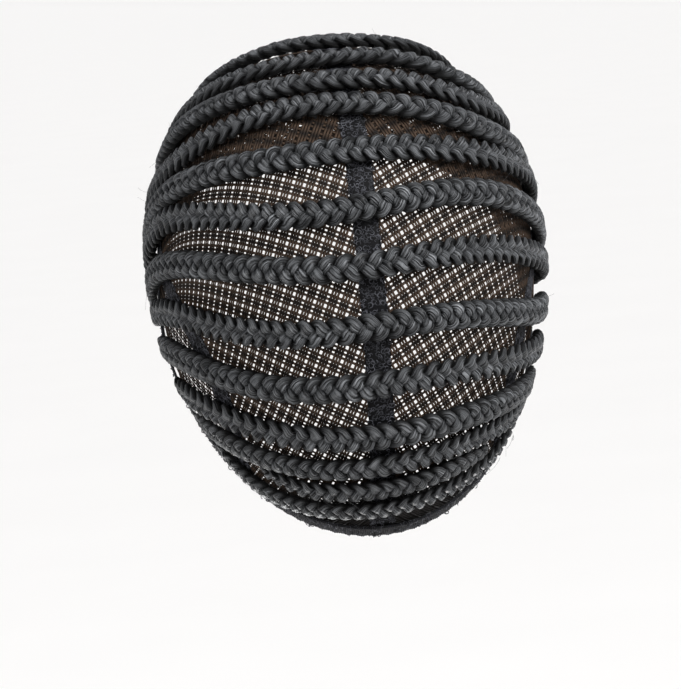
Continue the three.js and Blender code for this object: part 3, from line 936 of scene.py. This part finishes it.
plait_tree = plait_bench()
plait_paths = []
for number, given_row in enumerate(PLAIT_ROWS, start=1):
    node = f"braid_row_{number:02d}"
    row = {**ROW_USUAL, **given_row}
    hand = 1 if number % 2 else -1
    chance = np.random.default_rng(PLAIT_SEED + number)
    run, points, outward, across = row_path(row)
    from_end = np.minimum(run, run[-1] - run)
    full = smooth(from_end / PLAIT_TAPER_LENGTH)
    tip = PLAIT_TIP_SHARE + (1 - PLAIT_TIP_SHARE) * np.sqrt(np.clip(from_end / PLAIT_TIP_LENGTH, 0, 1))
    wide = row["girth"] * (PLAIT_END_WIDTH_SHARE + (1 - PLAIT_END_WIDTH_SHARE) * full) * tip
    tall = row["girth"] * (PLAIT_END_HEIGHT_SHARE + (1 - PLAIT_END_HEIGHT_SHARE) * full) * tip
    phases = chance.uniform(0, LOBE_DRIFT_PHASE, (len(LOBE_DRIFT_RATES), 1))
    drift = np.sin(np.outer(LOBE_DRIFT_RATES, run) + phases).sum(axis=0)
    turns = hand * run / (STRANDS * LOBE_PITCH * row["girth"] ** 0.5)
    turns = turns + LOBE_PITCH_DRIFT * drift + chance.uniform()
    plait = new_piece(node + "_plait", points + outward * PLAIT_FLOOR,
                      edges=[(i, i + 1) for i in range(len(run) - 1)])
    keep_values(plait, "FLOAT", run=run, turns=turns, wide=wide, tall=tall)
    forward = np.cross(across, outward)
    keep_values(plait, "FLOAT_VECTOR", outward=outward, across=across, ahead=hand * forward)
    plait_tree.grow(plait, half_width=PLAIT_HALF_WIDTH, height=PLAIT_HEIGHT, strand_width=STRAND_HALF_WIDTH,
                    strand_thickness=STRAND_HALF_THICKNESS, plumpness=STRAND_PLUMPNESS,
                    unevenness=STRAND_UNEVENNESS, steepness=STRAND_STEEPNESS, ridge_depth=RIDGE_DEPTH,
                    material=hair_paint.material)
    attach(plait, "root")
    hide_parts(node)
    plait_paths.append((points, outward, across, forward))

# Stray hairs
# Single fibres of the plaits' charcoal synthetic hair that have worked loose. The plait holds each at one
# end; most lie close along it, and some stand off it.

# Lengths are in metres, the rest are shares, and a row has no strays in the first and last of twenty parts
STRAY_COUNT = 170
STRAY_POINTS = 8
STRAY_RADIUS = 0.000065
STRAY_SIDES = 3
STRAY_LENGTHS = (0.004, 0.010)
STRAY_STAND = (0.0, 0.4)
STRAY_BEND = 0.7
STRAY_DROOP = 0.4
STRAY_ROW_PARTS = 20
STRAY_ASIDE = 0.8
STRAY_ROOT_SHARE = 0.9
STRAY_ROOT_FALL = 0.5
STRAY_FAN = 0.8
STRAY_FAN_SPREAD = 0.4
STRAY_TIP_SHARE = 0.5
STRAY_SEED = 23


def stray_bench():
    bench = GrowBench("stray_tubes", radius="size", material="material")
    lines = bench.curve(bench.given("Geometry"))
    girth = bench.given("radius") * bench.value_of("slim")
    bench.end(bench.tube(lines, bench.ring(STRAY_SIDES), girth))
    return bench


chance = np.random.default_rng(STRAY_SEED)
hair_points = []
for _ in range(STRAY_COUNT):
    points, outward, across, forward = plait_paths[chance.integers(len(plait_paths))]
    free_end = len(points) // STRAY_ROW_PARTS
    spot = chance.integers(free_end, len(points) - free_end)
    aside = chance.uniform(-STRAY_ASIDE, STRAY_ASIDE)
    root_height = PLAIT_FLOOR + PLAIT_HEIGHT * (STRAY_ROOT_SHARE - STRAY_ROOT_FALL * aside * aside)
    root = points[spot] + outward[spot] * root_height + across[spot] * (aside * PLAIT_HALF_WIDTH)
    way = forward[spot] * chance.choice((-1, 1))
    way = way + across[spot] * (STRAY_FAN * aside + chance.normal(0, STRAY_FAN_SPREAD))
    way = way + outward[spot] * chance.uniform(*STRAY_STAND)
    way = way / np.linalg.norm(way)
    bend = chance.normal(0, 1, 3) * STRAY_BEND - outward[spot] * STRAY_DROOP
    share = np.linspace(0, 1, STRAY_POINTS)[:, None]
    hair_points.append(root + chance.uniform(*STRAY_LENGTHS) * (way * share + bend * share * share / 2))
stray_edges = [(i, i + 1) for i in range(STRAY_COUNT * STRAY_POINTS - 1) if (i + 1) % STRAY_POINTS]
strays = new_piece("stray_hairs", np.concatenate(hair_points), edges=stray_edges)
keep_values(strays, "FLOAT", slim=np.tile(np.linspace(1.0, STRAY_TIP_SHARE, STRAY_POINTS), STRAY_COUNT))

STRAY_DARK = (0.004, 0.004, 0.005, 1.0)
STRAY_PALE = (0.030, 0.031, 0.034, 1.0)
STRAY_ROUGHNESS = 0.35
STRAY_SPREAD = 0.2
STRAY_GLOSS = 0.5

stray_paint = PaintBench("stray_charcoal")
stray_cloud = stray_paint.cloud(LACE_CLOUD_SCALE)
stray_colour = stray_paint.blend(stray_cloud, STRAY_DARK, STRAY_PALE)
stray_paint.finish(stray_colour, STRAY_ROUGHNESS, STRAY_SPREAD, stray_cloud, LACE_FUZZ_DEPTH, STRAY_GLOSS)
stray_bench().grow(strays, radius=STRAY_RADIUS, material=stray_paint.material)
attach(strays, "root")

# Floor, light and camera
# A plain pale floor well below the cap, soft studio light from above, from both sides and from the front,
# and a camera behind the cap, a little above it and a little to the left.
FLOOR_HEIGHT = -1.0
FLOOR_HALF_SIZE = 400.0
FLOOR_COLOUR = (0.945, 0.935, 0.920, 1.0)
FLOOR_PALE = (0.965, 0.955, 0.940, 1.0)
FLOOR_CLOUD_SCALE = 3.0
FLOOR_ROUGHNESS = 0.8
FLOOR_SPREAD = 0.1
FLOOR_RELIEF = 0.0001
FLOOR_GLOSS = 0.1

square = ((-1, -1), (1, -1), (1, 1), (-1, 1))
corners = [(x * FLOOR_HALF_SIZE, y * FLOOR_HALF_SIZE, FLOOR_HEIGHT) for x, y in square]
floor = new_piece("studio_floor", corners, faces=[(0, 1, 2, 3)])
floor_paint = PaintBench("floor_pale")
floor_cloud = floor_paint.cloud(FLOOR_CLOUD_SCALE)
floor_colour = floor_paint.blend(floor_cloud, FLOOR_COLOUR, FLOOR_PALE)
floor_paint.finish(floor_colour, FLOOR_ROUGHNESS, FLOOR_SPREAD, floor_cloud, FLOOR_RELIEF, FLOOR_GLOSS)
floor.data.materials.append(floor_paint.material)

# The air is as bright as the floor at eye level and darker overhead
AIR_LOW = (0.95, 0.94, 0.92, 1.0)
AIR_HIGH = (0.24, 0.24, 0.25, 1.0)
AIR_FADE_HEIGHT = 0.12

world = bpy.data.worlds.new("studio_air")
bpy.context.scene.world = world
world.use_nodes = True
air = Bench(world.node_tree)
air_way = air.node("ShaderNodeTexCoord", None, None, "Generated")
air_height = air.part(air_way, "Z")
air_share = air.between(air_height, 0.0, AIR_FADE_HEIGHT)
air_colour = air.blend(air_share, AIR_LOW, AIR_HIGH)
air.feed(world.node_tree.nodes["Background"].inputs["Color"], air_colour)

# Square lights turned to the middle of the cap, and one wide light from above with its spread in degrees
LIGHTS = (
    {"name": "light_right", "place": (1.0, -0.95, 0.75), "size": 0.5, "power": 27.0},
    {"name": "light_left", "place": (-1.2, -0.7, 0.45), "size": 0.6, "power": 13.0},
    {"name": "light_front", "place": (0.0, 0.75, -0.85), "size": 0.6, "power": 12.0},
)
SKY_POWER = 3.1
SKY_SPREAD = 50
SKY_WAY = (-0.55, 0.60, -1.0)


def hang_light(data, way):
    """A light that shines along a direction."""
    light = bpy.data.objects.new(data.name, data)
    light.rotation_euler = Vector(way).to_track_quat("-Z", "Y").to_euler()
    bpy.context.scene.collection.objects.link(light)
    return light


cap_middle = Vector(FORM_CENTRE)
for given_light in LIGHTS:
    light_data = bpy.data.lights.new(given_light["name"], "AREA")
    light_data.size = given_light["size"]
    light_data.energy = given_light["power"]
    light = hang_light(light_data, cap_middle - Vector(given_light["place"]))
    light.location = given_light["place"]
sky_data = bpy.data.lights.new("light_sky", "SUN")
sky_data.energy = SKY_POWER
sky_data.angle = math.radians(SKY_SPREAD)
hang_light(sky_data, SKY_WAY)
bpy.context.scene.view_settings.view_transform = "Standard"

# The camera's angles in degrees, its distance from the middle of the cap, and where that middle lies in the
# picture, in pixels
VIEW_ELEVATION = 6.0
VIEW_YAW = 5.5
VIEW_ROLL = 4.7
VIEW_DISTANCE = 1.3
METRES_PER_PIXEL = 0.000386
PICTURE_SIZE = (681, 689)
MIDDLE_PIXEL = (347.0, 297.0)
SENSOR = 36.0

elevation = math.radians(VIEW_ELEVATION)
yaw = math.radians(VIEW_YAW)
roll = math.radians(VIEW_ROLL)
ahead = Vector((math.sin(yaw) * math.cos(elevation),
                math.cos(yaw) * math.cos(elevation),
                -math.sin(elevation)))
level_right = ahead.cross(Vector((0, 0, 1))).normalized()
level_up = level_right.cross(ahead)
picture_right = math.cos(roll) * level_right - math.sin(roll) * level_up
picture_up = math.sin(roll) * level_right + math.cos(roll) * level_up
eye = cap_middle - ahead * VIEW_DISTANCE
off_right = (PICTURE_SIZE[0] / 2 - MIDDLE_PIXEL[0]) * METRES_PER_PIXEL
off_down = (PICTURE_SIZE[1] / 2 - MIDDLE_PIXEL[1]) * METRES_PER_PIXEL
axis = (ahead * VIEW_DISTANCE + picture_right * off_right - picture_up * off_down).normalized()
camera_up = (picture_up - axis * picture_up.dot(axis)).normalized()
camera_right = axis.cross(camera_up)

camera_data = bpy.data.cameras.new("photo_camera")
camera_data.sensor_width = SENSOR
camera_data.lens = VIEW_DISTANCE / METRES_PER_PIXEL * SENSOR / max(PICTURE_SIZE)
camera = bpy.data.objects.new("photo_camera", camera_data)
turn = Matrix((camera_right, camera_up, -axis)).transposed().to_4x4()
camera.matrix_world = Matrix.Translation(eye) @ turn
bpy.context.scene.collection.objects.link(camera)
bpy.context.scene.camera = camera
